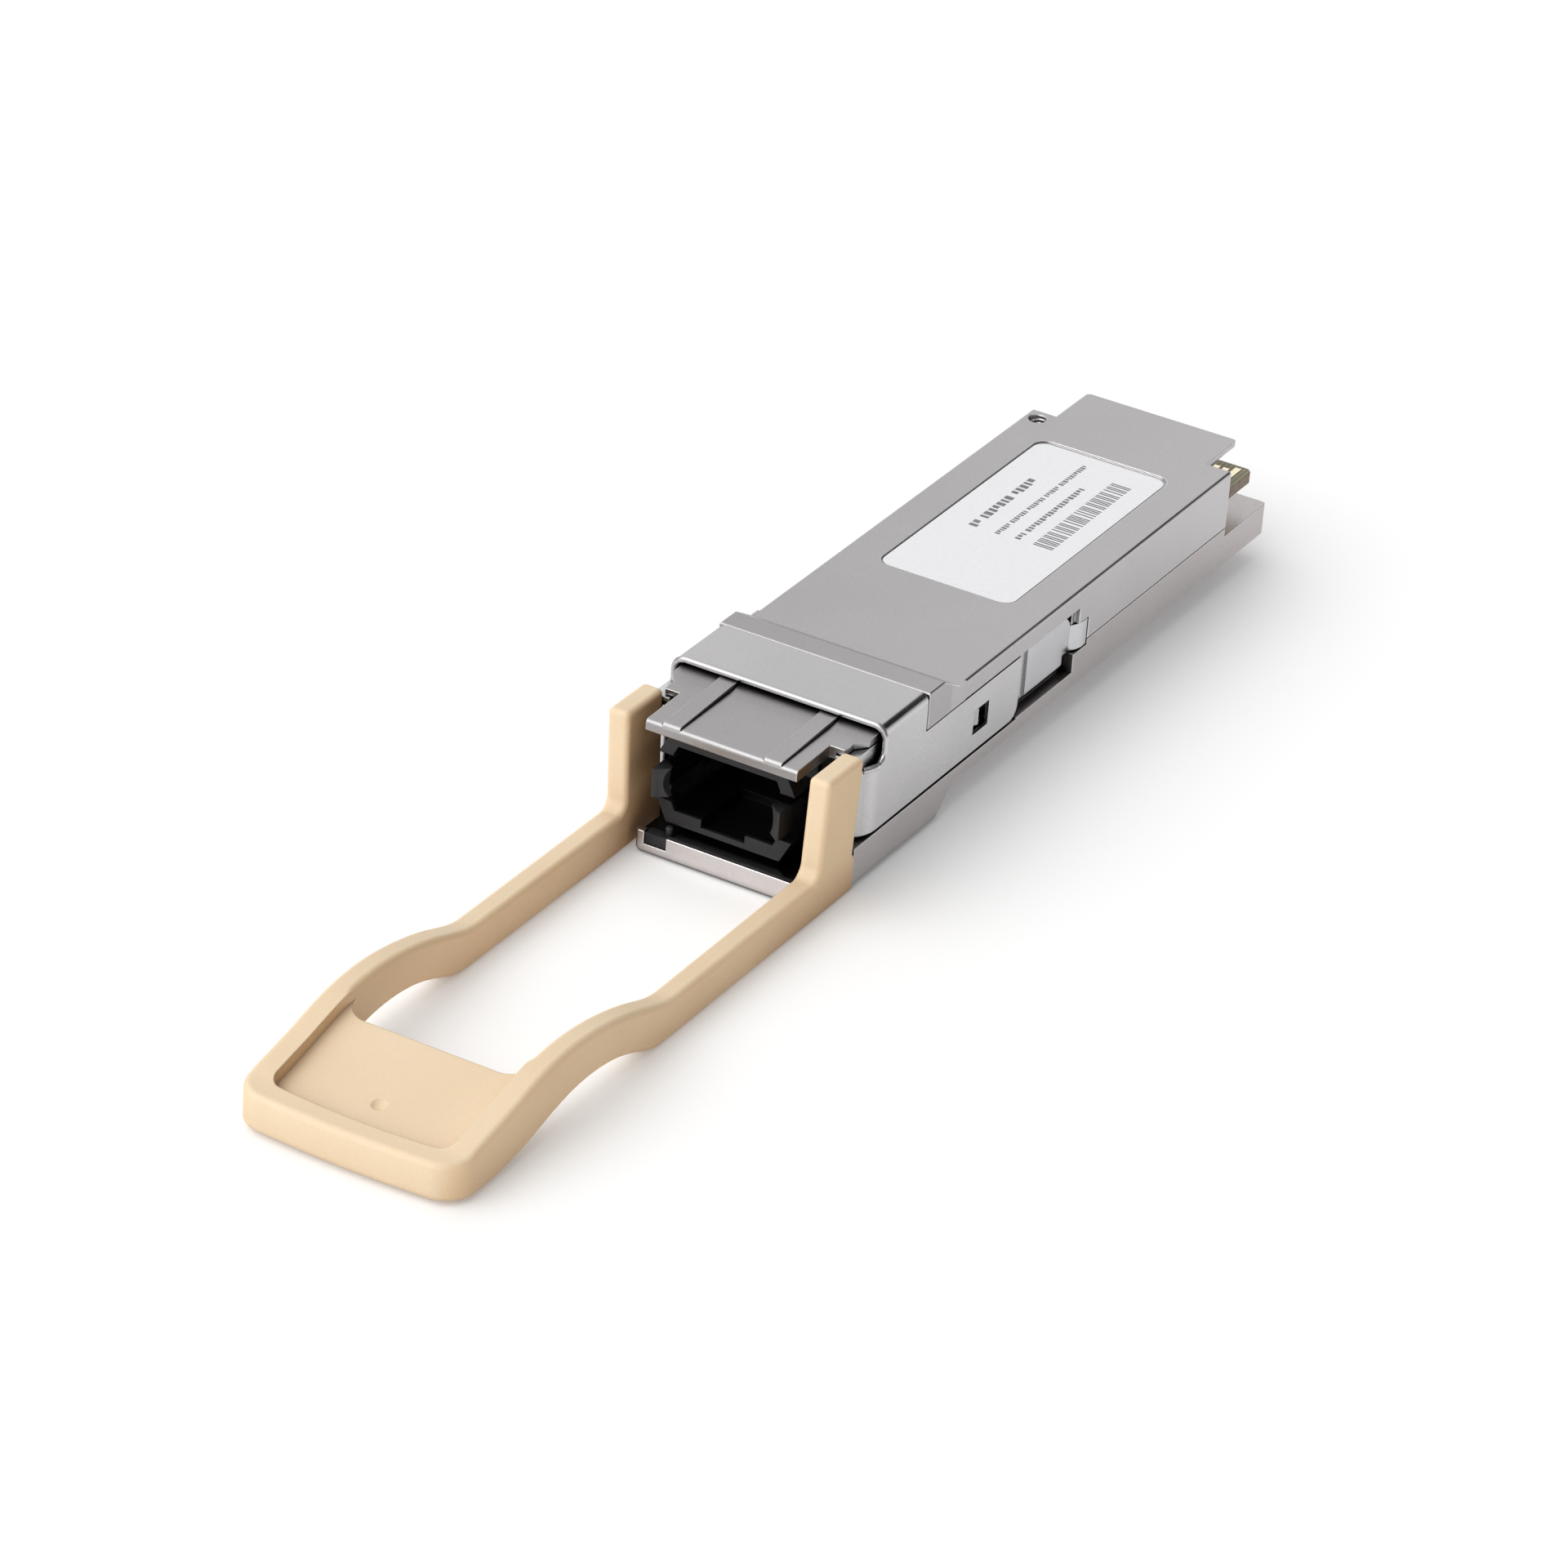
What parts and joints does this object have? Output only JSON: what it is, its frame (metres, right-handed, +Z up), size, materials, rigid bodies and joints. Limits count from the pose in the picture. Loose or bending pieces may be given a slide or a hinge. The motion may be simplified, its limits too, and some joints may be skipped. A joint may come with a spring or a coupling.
{
  "type": "optical transceiver module",
  "caption": "Pluggable optical transceiver module with a plated metal housing, a multi-fibre push-on port in its nose, a card edge connector at the rear and a beige pull tab.",
  "frame": {"origin": "on the belly face, on the centre line, straight below the rear edge of the upper housing's tongue", "axes": "+X to the right seen from the pull tab, +Y the way the module goes into its cage, +Z up"},
  "size_m": [0.0192, 0.1215, 0.0124],
  "materials": {
    "nickel_plating": "satin nickel plating on a zinc die casting, bright on the rims",
    "nickel_plating_lower": "satin nickel plating on a zinc die casting, slightly warmer",
    "nickel_sheet": "smooth nickel-plated stamped sheet",
    "plated_screw": "plated steel",
    "label_film": "white polyester label film",
    "conductive_rubber": "matte conductive silicone",
    "black_plastic": "moulded black plastic with a faint sheen",
    "ferrule_plastic": "glass-filled ferrule plastic",
    "stainless_steel": "ground stainless steel",
    "boot_rubber": "soft black elastomer",
    "ribbon_coating": "aqua fibre coating",
    "lens_plastic": "amber moulded optical plastic",
    "semiconductor": "polished semiconductor die",
    "chip_package": "moulded chip package",
    "crystal_can": "plated metal lid",
    "capacitor_ceramic": "fired ceramic",
    "resistor_body": "coated ceramic",
    "inductor_ferrite": "pressed powder core",
    "board_laminate": "green solder mask on glass laminate",
    "gold_plating": "hard gold plating",
    "thermal_pad": "soft gap filler",
    "spring_steel": "drawn spring wire",
    "beige_polymer": "satin overmoulded polymer"
  },
  "bodies": {
    "housing": {"upper_housing": "nickel_plating", "lower_housing": "nickel_plating_lower", "housing_screws": "plated_screw", "nose_sleeve": "nickel_sheet", "label": "label_film", "emi_gasket": "conductive_rubber", "mpo_receptacle": "black_plastic", "mpo_latch_arms": "black_plastic", "mt_ferrule": "ferrule_plastic", "guide_pins": "stainless_steel", "pin_clamp": "stainless_steel", "ferrule_boot": "boot_rubber", "fibre_ribbon": "ribbon_coating", "lens_block": "lens_plastic", "vcsel_array": "semiconductor", "photodiode_array": "semiconductor", "driver_chip": "chip_package", "receiver_chip": "chip_package", "microcontroller": "chip_package", "crystal": "crystal_can", "capacitors": "capacitor_ceramic", "resistors": "resistor_body", "inductors": "inductor_ferrite", "main_board": "board_laminate", "edge_contacts_top": "gold_plating", "edge_contacts_bottom": "gold_plating", "thermal_pad_upper": "thermal_pad", "thermal_pad_lower": "thermal_pad", "return_spring_right": "spring_steel", "return_spring_left": "spring_steel"},
    "release_slider": {"pull_tab": "beige_polymer", "slider_arm_right": "nickel_sheet", "slider_arm_left": "nickel_sheet"}
  },
  "joints": [
    {"name": "release_slide", "type": "slide", "parent": "housing", "child": "release_slider", "axis": [0, -1, 0], "range_m": [0, 0.0028], "stiffness_N_per_m": 1600, "springref_m": -0.002, "deforming": ["return_spring_right", "return_spring_left"]}
  ]
}
